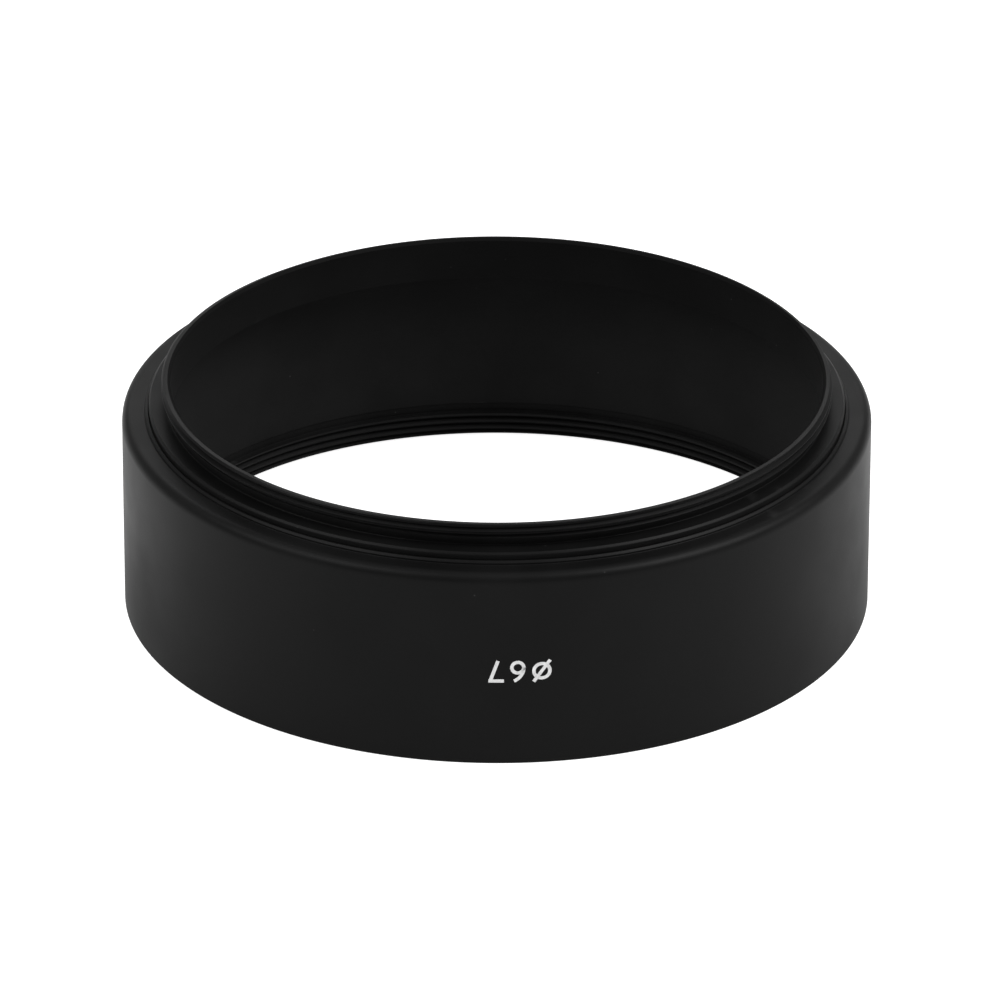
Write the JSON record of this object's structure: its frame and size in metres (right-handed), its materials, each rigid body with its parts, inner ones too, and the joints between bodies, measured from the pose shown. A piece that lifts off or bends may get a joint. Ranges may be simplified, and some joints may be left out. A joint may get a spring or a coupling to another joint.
{
  "type": "lens hood",
  "caption": "Round screw-in metal lens hood: outside filter thread on a stepped mount ring, short barrel, inside thread in the front mouth.",
  "frame": {"origin": "centre of the front rim's flat face, on which the hood stands", "axes": "+Z along the optical axis, from the front rim towards the lens thread; -Y through the size mark"},
  "size_m": [0.075, 0.075, 0.024],
  "materials": {
    "barrel_anodised": "satin black anodised",
    "ring_anodised": "satin black anodised",
    "mark_paint": "matt light paint filling the engraving"
  },
  "bodies": {
    "root": {"barrel": "barrel_anodised", "mount_ring": "ring_anodised", "size_mark": "mark_paint"}
  },
  "joints": []
}
